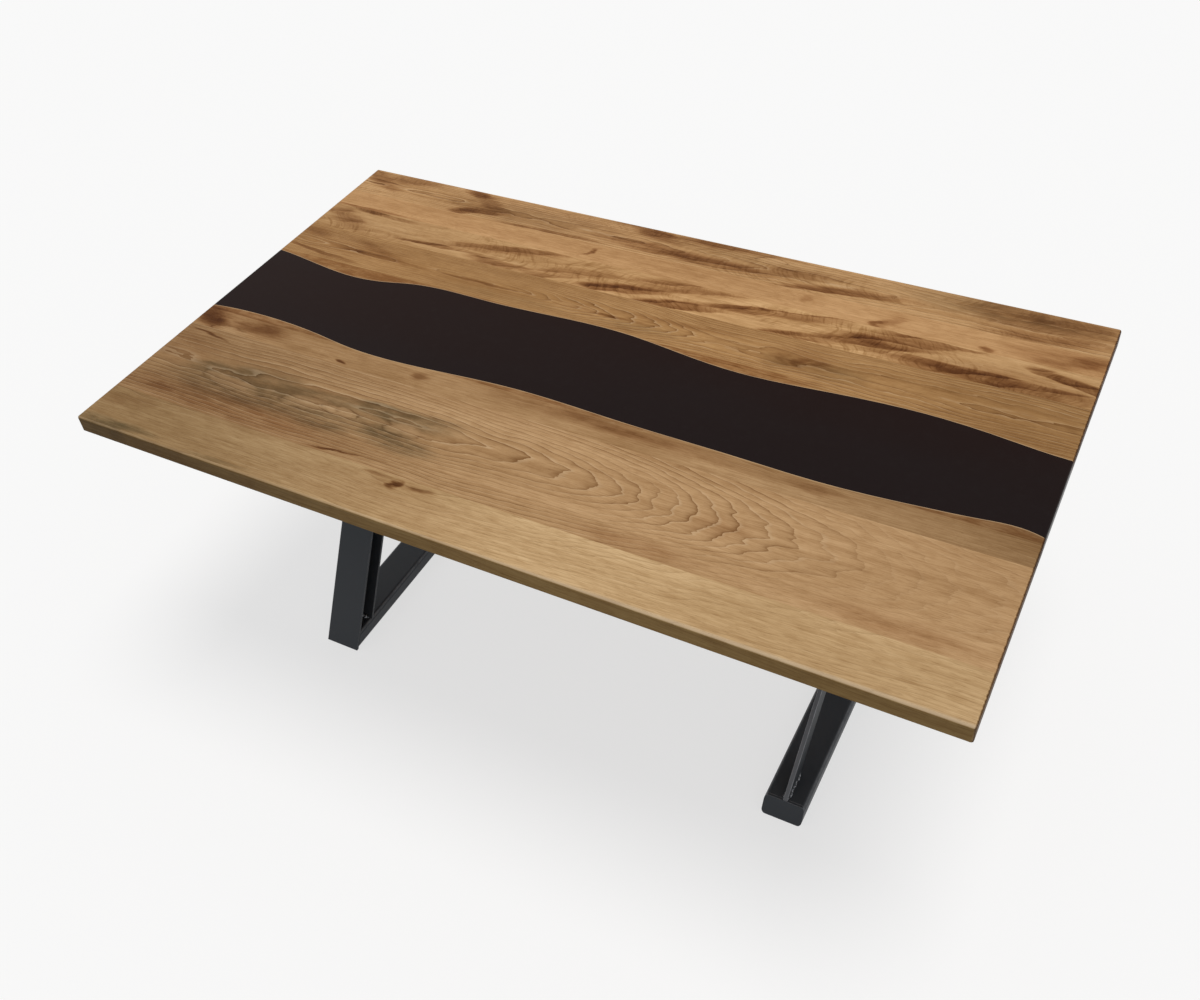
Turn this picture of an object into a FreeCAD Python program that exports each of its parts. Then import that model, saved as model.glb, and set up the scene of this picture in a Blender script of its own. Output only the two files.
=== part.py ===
import FreeCAD, Part
import math
import os
import re
import Sketcher

# Dining table: a river top of maple boards and dark resin on two welded steel legs.
# Millimetres. The origin is on the floor under the middle of the top,
# +X runs along the length, +Y towards the rear half of the top, +Z up.

document = FreeCAD.newDocument("river_table")
sheet = document.addObject("Spreadsheet::Sheet", "Sizes")

sizes = {
    # Top
    "top_length": 1829,
    "top_width": 1067,
    "top_thickness": 38,
    "table_height": 740,
    "edge_round": 5,
    "underside_bevel": 2,
    # Boards as shares of half the top's width, counted from its outer edges to the river
    "rear_outer_share": 0.206,
    "rear_second_share": 0.124,
    "rear_third_share": 0.186,
    "front_outer_share": 0.212,
    "front_second_share": 0.446,
    # River: its share of half the top's width, and the deepest wave of its edges
    "river_share": 0.219,
    "wave_depth": 26,
    # Legs
    "leg_spacing": 1130,
    "leg_width": 88,
    "foot_length": 726,
    "foot_height": 38,
    "foot_wall": 3,
    "foot_corner": 9,
    "cap_thickness": 5,
    "post_lean": 30,
    "post_depth": 52,
    "post_plate": 6,
    "web_thickness": 6,
    "plate_edge_round": 1.5,
    "brace_depth": 51,
    "brace_thickness": 9.5,
    "brace_rise": 41,
    "brace_setback": 1,
    "weld_leg": 6,
    # Mounting plates and their fasteners
    "mount_share": 0.637,
    "mount_overhang": 7,
    "mount_thickness": 6,
    "mount_corner": 8,
    "bolt_inner_share": 0.403,
    "bolt_outer_share": 0.572,
    "bolt_edge": 19,
    "bolt_diameter": 8,
    "bolt_length": 25,
    "bolt_hole_clearance": 3,
    "bolt_head_across": 13,
    "bolt_head_height": 5.5,
    "washer_diameter": 22,
    "washer_thickness": 1.6,
    "washer_clearance": 0.4,
    "insert_diameter": 12,
    "insert_length": 20,
    "insert_tip_room": 3,
    "thread_clearance": 0.1,
}

for row, (name, number) in enumerate(sizes.items(), start=1):
    sheet.set(f"A{row}", name)
    sheet.set(f"B{row}", str(number))
    sheet.setAlias(f"B{row}", name)
document.recompute()


def size(name):
    return float(sheet.get(name))


def bound(formula):
    """The formula with each size name pointed at the sheet."""

    def pointed(word):
        return f"Sizes.{word[0]}" if word[0] in sizes else word[0]

    return re.sub("[a-z_]+", pointed, formula)


vector = FreeCAD.Vector
touching = 0.001

# Places that several pieces share, as formulas of the sizes.
underside = "(table_height - top_thickness)"
post_top = "(table_height - top_thickness - mount_thickness)"
lean = "tan(post_lean)"
rise = "tan(brace_rise)"
plate_run = "(post_plate / cos(post_lean))"
depth_run = "(post_depth / cos(post_lean))"
cap_run = "(cap_thickness / cos(post_lean))"
half_top = "(top_width / 2)"
half_mount_length = f"({half_top} * mount_share)"
half_mount_width = "(leg_width / 2 + mount_overhang)"


def post_face(height):
    """Outer face of the leaning post at a height, measured along the foot."""
    return f"({height} * {lean} - foot_length / 2)"


def cap_face(height):
    """Outer face of the foot's capped end at a height."""
    return f"(foot_length / 2 - {height} * {lean})"


brace_toe = f"({cap_face('foot_height')} - brace_setback)"
brace_heel = f"({brace_toe} - brace_depth / sin(brace_rise))"


def brace_meets_post(start):
    """Height where a brace edge from a point on the foot reaches the rear of the post."""
    reach = f"({start} + foot_height / {rise} + foot_length / 2 - {depth_run})"
    return f"({reach} / ({lean} + 1 / {rise}))"


def new_body(label):
    body = document.addObject("PartDesign::Body", label)
    body.Label = label
    return body


def new_sketch(body, plane, name):
    sketch = body.newObject("Sketcher::SketchObject", name)
    for feature in body.Origin.OriginFeatures:
        if feature.Role == plane:
            sketch.AttachmentSupport = [(feature, "")]
    sketch.MapMode = "FlatFace"
    return sketch


def fix_point(sketch, line, end, across, up):
    """Holds one end of a line at two formulas, measured from the sketch's origin."""
    for kind, formula in (("DistanceX", across), ("DistanceY", up)):
        index = sketch.addConstraint(Sketcher.Constraint(kind, -1, 1, line, end, value(formula)))
        sketch.setExpression(f"Constraints[{index}]", bound(formula))


def value(formula):
    """The number that a formula of the sizes comes to."""
    return float(sheet.evalExpression(bound(formula)))


def outline(sketch, corners):
    """A closed outline of straight lines between corners given as formulas."""
    points = [vector(value(across), value(up), 0) for across, up in corners]
    for index, point in enumerate(points):
        following = points[(index + 1) % len(points)]
        sketch.addGeometry(Part.LineSegment(point, following), False)
    for index, (across, up) in enumerate(corners):
        following = (index + 1) % len(corners)
        sketch.addConstraint(Sketcher.Constraint("Coincident", index, 2, following, 1))
        fix_point(sketch, index, 1, across, up)


def pad(body, sketch, length, both_ways=False):
    feature = body.newObject("PartDesign::Pad", f"{body.Name}_pad")
    feature.Profile = sketch
    feature.Midplane = both_ways
    feature.setExpression("Length", bound(length))
    document.recompute()
    return feature


def dress(body, kind, base, wanted, setting, amount):
    """A fillet or chamfer on the edges of the base that pass a test."""
    names = [f"Edge{index}" for index, edge in enumerate(base.Shape.Edges, start=1) if wanted(edge)]
    feature = body.newObject(f"PartDesign::{kind}", f"{body.Name}_{kind.lower()}")
    feature.Base = (base, names)
    feature.setExpression(setting, bound(amount))
    document.recompute()
    return feature


def middle(edge):
    return edge.valueAt((edge.FirstParameter + edge.LastParameter) / 2)


def bore(body, base, sketch, depth):
    """A pocket of the sketch upwards into the base, checked by the volume it takes away."""
    feature = body.newObject("PartDesign::Pocket", f"{body.Name}_bore")
    feature.Profile = sketch
    feature.Reversed = True
    feature.setExpression("Length", bound(depth))
    document.recompute()
    if feature.Shape.Volume >= base.Shape.Volume:
        raise ValueError(f"{body.Label}: the pocket takes nothing away")
    return feature


def circles(sketch, centres, radius):
    """Circles of one radius at centres given as formulas."""
    for across, up in centres:
        start = vector(value(across), value(up), 0)
        circle = sketch.addGeometry(Part.Circle(start, vector(0, 0, 1), value(radius)), False)
        fix_point(sketch, circle, 3, across, up)
        index = sketch.addConstraint(Sketcher.Constraint("Radius", circle, value(radius)))
        sketch.setExpression(f"Constraints[{index}]", bound(radius))


# Top

# Wavy edges of the river: the place as a share of the half length, and how far the edge
# stands towards the rear of a straight river's edge, as a share of the deepest wave.
rear_bank_waves = (
    (-1.00, 0.50), (-0.84, -0.31), (-0.745, -0.62), (-0.66, -0.31), (-0.59, 0.31), (-0.36, 0.62),
    (-0.11, 1.00), (0.00, 0.92), (0.175, 0.08), (0.295, -0.27), (0.50, 0.19), (0.70, 0.50),
    (0.84, 0.12), (0.94, -0.35), (1.00, -0.50),
)
front_bank_waves = (
    (-1.00, 0.23), (-0.82, 0.62), (-0.67, 0.19), (-0.59, -0.23), (-0.50, -0.42), (-0.40, -0.31),
    (-0.21, 0.23), (-0.11, 0.35), (0.12, 0.04), (0.40, -0.19), (0.55, -0.35), (0.66, -0.23),
    (0.78, 0.12), (0.87, 0.46), (0.94, 0.73), (1.00, 0.38),
)


def bank(waves, side):
    """One wavy edge of the river as a smooth curve from the left end to the right end."""
    half_length = size("top_length") / 2
    straight = side * value(f"{half_top} * river_share")
    deepest = size("wave_depth")
    curve = Part.BSplineCurve()
    curve.interpolate([vector(place * half_length, straight + wave * deepest, 0) for place, wave in waves])
    return curve


rear_bank = bank(rear_bank_waves, 1)
front_bank = bank(front_bank_waves, -1)


def plan_outline(sketch, lower, upper):
    """A plan between two edges that both run from the left end to the right end."""
    edges = [lower, upper]
    for start, end in ((lower.EndPoint, upper.EndPoint), (upper.StartPoint, lower.StartPoint)):
        edges.append(Part.LineSegment(start, end))
    for edge in edges:
        sketch.addGeometry(edge, False)


def straight_edge(place):
    """A glue line or an outer edge, at a formula for its distance from the middle of the top."""
    half_length = size("top_length") / 2
    across = value(place)
    return Part.LineSegment(vector(-half_length, across, 0), vector(half_length, across, 0))


def finish_top_piece(body, base, outer):
    """Rounds the ends, and the outer long edge if there is one, and eases them underneath."""
    half_length = size("top_length") / 2
    thickness = size("top_thickness")
    near = 2 * size("edge_round")

    def exposed(edge):
        place = middle(edge)
        at_end = abs(place.x) > half_length - near
        return at_end or (outer and abs(place.y - value(outer)) < near / 2)

    def rounded(edge):
        if not exposed(edge):
            return False
        low = edge.BoundBox.ZMin
        upright = edge.BoundBox.ZLength > thickness / 2
        corner = outer and abs(middle(edge).y - value(outer)) < near / 2
        return low > thickness / 2 or (upright and corner)

    def eased(edge):
        return exposed(edge) and edge.BoundBox.ZMax < thickness / 4

    fillet = dress(body, "Fillet", base, rounded, "Radius", "edge_round")
    dress(body, "Chamfer", fillet, eased, "Size", "underside_bevel")


rear_outer_line = half_top
rear_first_line = f"({half_top} * (1 - rear_outer_share))"
rear_second_line = f"({half_top} * (1 - rear_outer_share - rear_second_share))"
rear_third_line = f"({half_top} * (1 - rear_outer_share - rear_second_share - rear_third_share))"
front_outer_line = f"(0 - {half_top})"
front_first_line = f"({half_top} * (front_outer_share - 1))"
front_second_line = f"({half_top} * (front_outer_share + front_second_share - 1))"

bolt_rows = [f"({half_top} * {way} * {share})" for share in ("bolt_inner_share", "bolt_outer_share")
             for way in (-1, 1)]
leg_middles = ["(0 - leg_spacing / 2)", "leg_spacing / 2"]
bolt_sides = [f"(bolt_edge - {half_mount_width})", f"({half_mount_width} - bolt_edge)"]
bolt_places = [(f"({leg} + {side})", row) for leg in leg_middles for side in bolt_sides for row in bolt_rows]


def top_piece(label, lower, upper, outer=None):
    """One board, or the river: a plan, its thickness, its insert holes and its eased edges."""
    body = new_body(label)
    plan = new_sketch(body, "XY_Plane", f"{label}_plan")
    plan_outline(plan, lower, upper)
    feature = pad(body, plan, "top_thickness")
    lowest = lower.StartPoint.y
    highest = upper.StartPoint.y
    inserts = [(across, row) for across, row in bolt_places if lowest < value(row) < highest]
    if inserts:
        holes = new_sketch(body, "XY_Plane", f"{label}_holes")
        circles(holes, inserts, "insert_diameter / 2")
        feature = bore(body, feature, holes, "insert_length + insert_tip_room")
    finish_top_piece(body, feature, outer)
    body.setExpression("Placement.Base.z", bound(underside))
    return body


rear_edge = straight_edge(rear_outer_line)
rear_first_joint = straight_edge(rear_first_line)
rear_second_joint = straight_edge(rear_second_line)
rear_third_joint = straight_edge(rear_third_line)
front_second_joint = straight_edge(front_second_line)
front_first_joint = straight_edge(front_first_line)
front_edge = straight_edge(front_outer_line)

pieces = [
    top_piece("rear_outer_board", rear_first_joint, rear_edge, rear_outer_line),
    top_piece("rear_second_board", rear_second_joint, rear_first_joint),
    top_piece("rear_third_board", rear_third_joint, rear_second_joint),
    top_piece("rear_river_board", rear_bank, rear_third_joint),
    top_piece("resin_river", front_bank, rear_bank),
    top_piece("front_river_board", front_second_joint, front_bank),
    top_piece("front_second_board", front_first_joint, front_second_joint),
    top_piece("front_outer_board", front_edge, front_first_joint, front_outer_line),
]

# Legs. Each piece is drawn about the leg's own middle, with the leaning post at the low end
# of the foot, then stood at its place. The right leg is the left one turned half round.

front_plate = [
    (post_face("0"), "0"),
    (f"{post_face('0')} + {plate_run}", "0"),
    (f"{post_face(post_top)} + {plate_run}", post_top),
    (post_face(post_top), post_top),
]
rear_plate = [
    (f"{post_face('foot_height')} + {depth_run} - {plate_run}", "foot_height"),
    (f"{post_face('foot_height')} + {depth_run}", "foot_height"),
    (f"{post_face(post_top)} + {depth_run}", post_top),
    (f"{post_face(post_top)} + {depth_run} - {plate_run}", post_top),
]
web = [
    (f"{post_face('foot_height')} + {plate_run}", "foot_height"),
    (f"{post_face('foot_height')} + {depth_run} - {plate_run}", "foot_height"),
    (f"{post_face(post_top)} + {depth_run} - {plate_run}", post_top),
    (f"{post_face(post_top)} + {plate_run}", post_top),
]
foot = [
    (f"{post_face('0')} + {plate_run}", "0"),
    (f"{cap_face('0')} - {cap_run}", "0"),
    (f"{cap_face('foot_height')} - {cap_run}", "foot_height"),
    (f"{post_face('foot_height')} + {plate_run}", "foot_height"),
]
cap = [
    (f"{cap_face('0')} - {cap_run}", "0"),
    (cap_face("0"), "0"),
    (cap_face("foot_height"), "foot_height"),
    (f"{cap_face('foot_height')} - {cap_run}", "foot_height"),
]
brace = [
    (brace_heel, "foot_height"),
    (brace_toe, "foot_height"),
    (f"{post_face(brace_meets_post(brace_toe))} + {depth_run}", brace_meets_post(brace_toe)),
    (f"{post_face(brace_meets_post(brace_heel))} + {depth_run}", brace_meets_post(brace_heel)),
]


def lies_along_foot(edge):
    return edge.BoundBox.XLength < touching and edge.BoundBox.ZLength < touching


def runs_up_post(edge):
    return edge.BoundBox.XLength < touching and edge.BoundBox.ZLength > size("foot_height")


def runs_along_brace(edge):
    return edge.BoundBox.XLength < touching and edge.Length > 2 * size("brace_depth")


def slanted_plate(label, corners, width):
    """A plate drawn from the side and spread evenly about the leg's middle plane."""
    body = new_body(label)
    profile = new_sketch(body, "YZ_Plane", f"{label}_side")
    outline(profile, corners)
    return body, pad(body, profile, width, both_ways=True)


def post_piece(label, corners, width):
    body, feature = slanted_plate(label, corners, width)
    dress(body, "Fillet", feature, runs_up_post, "Radius", "plate_edge_round")
    return body


def brace_piece(label):
    """The brace's flat bar on edge, its long edges eased."""
    body, feature = slanted_plate(label, brace, "brace_thickness")
    dress(body, "Fillet", feature, runs_along_brace, "Radius", "plate_edge_round")
    return body


def cap_piece(label):
    body, feature = slanted_plate(label, cap, "leg_width")
    dress(body, "Fillet", feature, lies_along_foot, "Radius", "foot_corner")
    return body


def foot_piece(label):
    """The foot's rectangular tube: slant-ended, rounded at its corners outside and inside."""
    body, feature = slanted_plate(label, foot, "leg_width")
    solid = dress(body, "Fillet", feature, lies_along_foot, "Radius", "foot_corner")
    inside = new_sketch(body, "XZ_Plane", f"{label}_inside")
    half = "(leg_width / 2 - foot_wall)"
    low = "foot_wall"
    high = "(foot_height - foot_wall)"
    outline(inside, [(f"(0 - {half})", low), (half, low), (half, high), (f"(0 - {half})", high)])
    feature = body.newObject("PartDesign::Pocket", f"{label}_bore")
    feature.Profile = inside
    feature.Midplane = True
    feature.setExpression("Length", bound("2 * foot_length"))
    document.recompute()
    if feature.Shape.Volume >= solid.Shape.Volume:
        raise ValueError(f"{label}: the bore takes nothing away")

    def inner_corner(edge):
        return lies_along_foot(edge) and abs(abs(middle(edge).x) - value(half)) < touching

    dress(body, "Fillet", feature, inner_corner, "Radius", "foot_corner - foot_wall")
    return body


def mount_piece(label):
    """The mounting plate at the head of a post, with its bolt holes."""
    body = new_body(label)
    plan = new_sketch(body, "XY_Plane", f"{label}_plan")
    right = half_mount_width
    far = half_mount_length
    left = f"(0 - {right})"
    near = f"(0 - {far})"
    outline(plan, [(left, near), (right, near), (right, far), (left, far)])
    plate = pad(body, plan, "mount_thickness")
    holes = new_sketch(body, "XY_Plane", f"{label}_holes")
    places = [(side, row) for side in bolt_sides for row in bolt_rows]
    circles(holes, places, "(bolt_diameter + bolt_hole_clearance) / 2")
    drilled = bore(body, plate, holes, "mount_thickness")

    def upright_corner(edge):
        upright = edge.BoundBox.ZLength > size("mount_thickness") / 2
        return upright and abs(middle(edge).y) > value(far) - touching

    dress(body, "Fillet", drilled, upright_corner, "Radius", "mount_corner")
    return body


def bead(start, end, first_way, second_way):
    """One fillet weld: a three-cornered bar in the angle of two faces, from start to end."""
    leg = size("weld_leg")
    corner = Part.makePolygon([start, start + first_way * leg, start + second_way * leg, start])
    return Part.Face(corner).extrude(end - start)


def weld_beads(label):
    """The visible fillet welds of one leg."""
    half_width = size("leg_width") / 2 - size("foot_corner")
    lean_angle = math.radians(size("post_lean"))
    up_post = vector(0, math.sin(lean_angle), math.cos(lean_angle))
    off_post = vector(0, math.cos(lean_angle), -math.sin(lean_angle))
    foot_top = size("foot_height")
    head = value(post_top)
    upward = vector(0, 0, 1)
    solids = []

    def bead_across(place, height, along, up_face):
        left = vector(-half_width, place, height)
        right = vector(half_width, place, height)
        solids.append(bead(left, right, along, up_face))

    # Rear plate on the foot, and both plates under the mounting plate
    bead_across(value(rear_plate[1][0]), foot_top, vector(0, 1, 0), up_post)
    bead_across(value(rear_plate[2][0]), head, vector(0, 1, 0), up_post * -1)
    bead_across(value(front_plate[3][0]), head, vector(0, -1, 0), up_post * -1)

    # Rear plate on the foot inside the recess, at each side of the web
    recess = value(rear_plate[0][0])
    web_side = size("web_thickness") / 2
    for way in (-1, 1):
        start = vector(way * web_side, recess, foot_top)
        solids.append(bead(start, vector(way * half_width, recess, foot_top), vector(0, -1, 0), up_post))

    # Brace on the foot and against the post, at each side of the brace
    brace_side = size("brace_thickness") / 2
    for way in (-1, 1):
        out = vector(way, 0, 0)
        heel = vector(way * brace_side, value(brace_heel), foot_top)
        toe = vector(way * brace_side, value(brace_toe), foot_top)
        solids.append(bead(heel, toe - vector(0, size("weld_leg"), 0), out, upward))
        low = vector(way * brace_side, value(brace[3][0]), value(brace[3][1]))
        high = vector(way * brace_side, value(brace[2][0]), value(brace[2][1]))
        solids.append(bead(low, high, out, off_post))

    welds = document.addObject("Part::Feature", label)
    welds.Label = label
    welds.Shape = Part.makeCompound(solids)
    return welds


for side, turn in (("left", 0), ("right", 180)):
    leg = [
        foot_piece(f"foot_tube_{side}"),
        cap_piece(f"foot_cap_{side}"),
        post_piece(f"post_front_plate_{side}", front_plate, "leg_width"),
        post_piece(f"post_rear_plate_{side}", rear_plate, "leg_width"),
        slanted_plate(f"post_web_{side}", web, "web_thickness")[0],
        brace_piece(f"brace_{side}"),
        mount_piece(f"mount_plate_{side}"),
        weld_beads(f"weld_beads_{side}"),
    ]
    for piece in leg:
        piece.Placement = FreeCAD.Placement(vector(0, 0, 0), FreeCAD.Rotation(vector(0, 0, 1), turn))
        piece.setExpression("Placement.Base.x", bound(leg_middles[turn // 180]))
        if piece.Label.startswith("mount"):
            piece.setExpression("Placement.Base.z", bound(post_top))
    pieces.extend(leg)

# Fasteners: every bolt, washer and insert stands on the same bolt places.


def fasteners(label, single):
    """One kind of fastener at every bolt place, as a group of solids."""
    group = document.addObject("Part::Feature", label)
    group.Label = label
    solids = []
    for across, row in bolt_places:
        copy = single.copy()
        copy.translate(vector(value(across), value(row), 0))
        solids.append(copy)
    group.Shape = Part.makeCompound(solids)
    group.setExpression("Placement.Base.z", bound(post_top))
    return group


def ring(outer, inner, bottom, height):
    floor = vector(0, 0, bottom)
    return Part.makeCylinder(outer, height, floor).cut(Part.makeCylinder(inner, height, floor))


def hex_bolt():
    """A hexagon-head bolt pushed up through the washer and the mounting plate."""
    corner_radius = size("bolt_head_across") / math.sqrt(3)
    seat = -size("washer_thickness")
    base = seat - size("bolt_head_height")
    corners = [vector(corner_radius * math.cos(math.radians(60 * step)),
                      corner_radius * math.sin(math.radians(60 * step)), base) for step in range(7)]
    head = Part.Face(Part.makePolygon(corners)).extrude(vector(0, 0, size("bolt_head_height")))
    shank = Part.makeCylinder(size("bolt_diameter") / 2, size("bolt_length"), vector(0, 0, seat))
    return head.fuse(shank).removeSplitter()


def washer():
    inner = size("bolt_diameter") / 2 + size("washer_clearance")
    return ring(size("washer_diameter") / 2, inner, -size("washer_thickness"), size("washer_thickness"))


def threaded_insert():
    inner = size("bolt_diameter") / 2 + size("thread_clearance")
    return ring(size("insert_diameter") / 2, inner, size("mount_thickness"), size("insert_length"))


pieces.append(fasteners("mount_bolts", hex_bolt()))
pieces.append(fasteners("mount_washers", washer()))
pieces.append(fasteners("threaded_inserts", threaded_insert()))

document.recompute()

for item in document.Objects:
    if "Invalid" in item.State or "Error" in item.State:
        raise ValueError(f"{item.Label} did not build: {item.State}")

os.makedirs("parts", exist_ok=True)
for piece in pieces:
    if piece.Shape.isNull() or not piece.Shape.isValid():
        raise ValueError(f"{piece.Label} has no valid shape")
    piece.Shape.exportStep(f"parts/{piece.Label}.step")
    print(piece.Label, len(piece.Shape.Solids), round(piece.Shape.Volume))
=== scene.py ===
import math
from collections import namedtuple

import bmesh
import bpy
from mathutils import Euler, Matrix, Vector


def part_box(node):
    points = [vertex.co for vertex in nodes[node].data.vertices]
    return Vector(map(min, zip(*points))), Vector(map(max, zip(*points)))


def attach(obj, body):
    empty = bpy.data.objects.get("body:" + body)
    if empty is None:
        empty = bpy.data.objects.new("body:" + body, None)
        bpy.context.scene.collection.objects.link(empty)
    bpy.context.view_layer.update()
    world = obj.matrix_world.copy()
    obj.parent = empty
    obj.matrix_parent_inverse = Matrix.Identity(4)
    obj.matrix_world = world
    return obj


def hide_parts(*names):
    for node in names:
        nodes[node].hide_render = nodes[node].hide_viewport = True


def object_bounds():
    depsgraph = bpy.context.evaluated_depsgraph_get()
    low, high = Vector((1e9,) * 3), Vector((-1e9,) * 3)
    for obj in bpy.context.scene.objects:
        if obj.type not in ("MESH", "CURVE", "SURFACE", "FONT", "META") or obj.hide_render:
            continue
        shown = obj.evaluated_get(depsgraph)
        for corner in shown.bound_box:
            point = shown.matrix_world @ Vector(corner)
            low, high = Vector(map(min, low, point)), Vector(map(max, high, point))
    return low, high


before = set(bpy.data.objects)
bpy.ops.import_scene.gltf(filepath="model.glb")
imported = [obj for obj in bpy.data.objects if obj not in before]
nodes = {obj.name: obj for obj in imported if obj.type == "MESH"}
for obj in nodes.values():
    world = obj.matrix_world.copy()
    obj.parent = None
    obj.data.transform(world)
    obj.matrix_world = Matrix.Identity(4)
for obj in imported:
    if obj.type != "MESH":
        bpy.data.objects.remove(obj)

# Looks of the river table. Metres and degrees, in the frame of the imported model:
# the floor is at z = 0, +X runs along the top, +Y towards its rear half.

cad_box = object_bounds()
top_surface = cad_box[1].z


class Shader:
    """A material's node tree, with short calls for the nodes that it is made of."""

    def __init__(self, name):
        self.material = bpy.data.materials.new(name)
        self.material.use_nodes = True
        self.tree = self.material.node_tree
        self.surface = self.tree.nodes["Principled BSDF"]
        self.place = self.add("ShaderNodeTexCoord").outputs["Object"]
        self.x, self.y, self.z = self.split(self.place)

    def add(self, kind, inputs=None, **settings):
        node = self.tree.nodes.new(kind)
        for name, setting in settings.items():
            setattr(node, name, setting)
        for index, source in (inputs or {}).items():
            self.feed(node.inputs[index], source)
        return node

    def feed(self, socket, source):
        """Links a socket to another one, or sets it to a plain value."""
        if isinstance(source, bpy.types.NodeSocket):
            self.tree.links.new(source, socket)
        else:
            socket.default_value = source

    def math(self, operation, first, second=0.0, third=0.0, clamp=False):
        inputs = {0: first, 1: second, 2: third}
        return self.add("ShaderNodeMath", inputs, operation=operation, use_clamp=clamp).outputs[0]

    def split(self, vector):
        return self.add("ShaderNodeSeparateXYZ", {0: vector}).outputs

    def noise(self, stretch, detail=2.0, roughness=0.5, shift=0.0, place=None):
        """Smooth noise from 0 to 1, with its own number of waves a metre along each axis."""
        offset = (shift, 0.7 * shift, 1.3 * shift)
        inputs = {"Vector": place or self.place, "Scale": stretch, "Location": offset}
        mapped = self.add("ShaderNodeMapping", inputs)
        inputs = {"Vector": mapped.outputs[0], "Scale": 1.0, "Detail": detail, "Roughness": roughness}
        return self.add("ShaderNodeTexNoise", inputs).outputs[0]

    def sway(self, stretch, amount, detail=2.0, shift=0.0):
        """Smooth noise about nought that swings by about half the amount each way."""
        centred = self.math("SUBTRACT", self.noise(stretch, detail, shift=shift), 0.5)
        return self.math("MULTIPLY", centred, amount)

    def warp(self, along, across):
        """The place, shifted along and across the grain."""
        shift = self.add("ShaderNodeCombineXYZ", {0: along, 1: across, 2: 0.0}).outputs[0]
        return self.add("ShaderNodeVectorMath", {0: self.place, 1: shift}, operation="ADD").outputs[0]

    def step(self, value, low, high, start=0.0, end=1.0):
        """A smooth step from start to end as the value goes from low to high."""
        inputs = {0: value, 1: low, 2: high, 3: start, 4: end}
        return self.add("ShaderNodeMapRange", inputs, interpolation_type="SMOOTHSTEP").outputs[0]

    def mix(self, blend, amount, first, second):
        inputs = {0: amount, 6: opaque(first), 7: opaque(second)}
        return self.add("ShaderNodeMix", inputs, data_type="RGBA", blend_type=blend).outputs[2]

    def stain(self, colour, amount, tint):
        """The colour darkened towards itself times a tint."""
        return self.mix("MULTIPLY", amount, colour, tint)

    def soak(self, colour, amount, tint):
        """The colour under a stain that gets deeper, and its hue stronger, as its amount goes to 1."""
        depth = self.add("ShaderNodeVectorMath", {0: tint, 1: amount}, operation="POWER").outputs[0]
        return self.mix("MULTIPLY", 1.0, colour, depth)

    def bump(self, height, strength, distance):
        inputs = {"Height": height, "Strength": strength, "Distance": distance}
        return self.add("ShaderNodeBump", inputs).outputs[0]

    def finish(self, **inputs):
        """Feeds the surface's own sockets, named with underscores, and gives the material."""
        for name, source in inputs.items():
            socket = self.surface.inputs[name.replace("_", " ")]
            self.feed(socket, opaque(source) if socket.type == "RGBA" else source)
        return self.material


def opaque(colour):
    """A plain colour with its alpha, or a socket as it is."""
    return colour if isinstance(colour, bpy.types.NodeSocket) else (*colour[:3], 1.0)


def dress(node, material):
    """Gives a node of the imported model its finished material."""
    nodes[node].data.materials.clear()
    nodes[node].data.materials.append(material)


# Wood

# A mark in the wood: the middle, length and width of a soft spot, its turn, how dark it is, and
# which long side of it is sharp: 1 the front one, -1 the rear one, 0 neither.
Mark = namedtuple("Mark", "x y length width turn depth edge", defaults=(0,))

# One board of the top. The growth rings stand round a pith that runs along the board at pith_y; pith
# gives its depth below the top at two places along the board, and those places. ring is the rings'
# spacing, rings how strong they show, and fade how much of that is left at the right end. curl is the
# strength of the flames and strokes across the grain, lean the slope of the flames in degrees, blotch the
# strength of the slow changes of tone. left_shade and right_shade darken the board towards its ends. The
# marks are brown, grey and red ones, and eyes, which are islands in them with a dark rim.
Board = namedtuple(
    "Board", "colour pith_y pith ring rings curl lean blotch left_shade right_shade brown grey red eyes fade",
    defaults=((), (), (), 1.0))

brown_tint = (0.235, 0.140, 0.085)
grey_tint = (0.34, 0.36, 0.33)
red_tint = (0.58, 0.43, 0.31)
flame_tint = (0.60, 0.50, 0.36)
ring_tint = (0.44, 0.34, 0.23)
fibre_tint = (0.70, 0.62, 0.52)
blotch_tint = (0.66, 0.59, 0.49)
shade_tint = (0.55, 0.52, 0.47)
# Painted shade on the side faces of the outer boards
side_shade_tint = (0.48, 0.45, 0.33)
end_grain_tint = (0.20, 0.15, 0.10)
bank_pale = (0.60, 0.43, 0.26)
ring_pale = (0.72, 0.56, 0.37)
# Painted highlight along the rounded long edge of the top
arris_highlight = (0.55, 0.435, 0.300)

# Places along the top where a change starts, and where it is complete
left_shade_span = (0.15, -0.85)
right_shade_span = (0.25, 0.95)
ring_fade_span = (0.40, 0.70)
# The next two: where the painted highlight along the front edge grows along the top
arris_highlight_span = (-0.60, 0.45)
flat_highlight_span = (-0.10, 0.45)

# How far in from the front edge the painted highlight beside the rounded arris starts, and where it is
# complete
flat_highlight_reach = (0.009, 0.005)

# How sharp the late wood, the flames and the brown marks are, and how strong each part of the figure is
late_power, flame_power, soak_power = 7.0, 1.4, 1.3
late_share, early_share, pale_side_share = 0.75, 0.34, 0.22
flame_share, stroke_share, flame_break = 0.45, 0.66, 0.40
eye_share = 0.08
curl_in_marks = 1.3
late_relief = -0.4

flame_spacing = 0.034
wood_seed_step = 3.7

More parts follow.
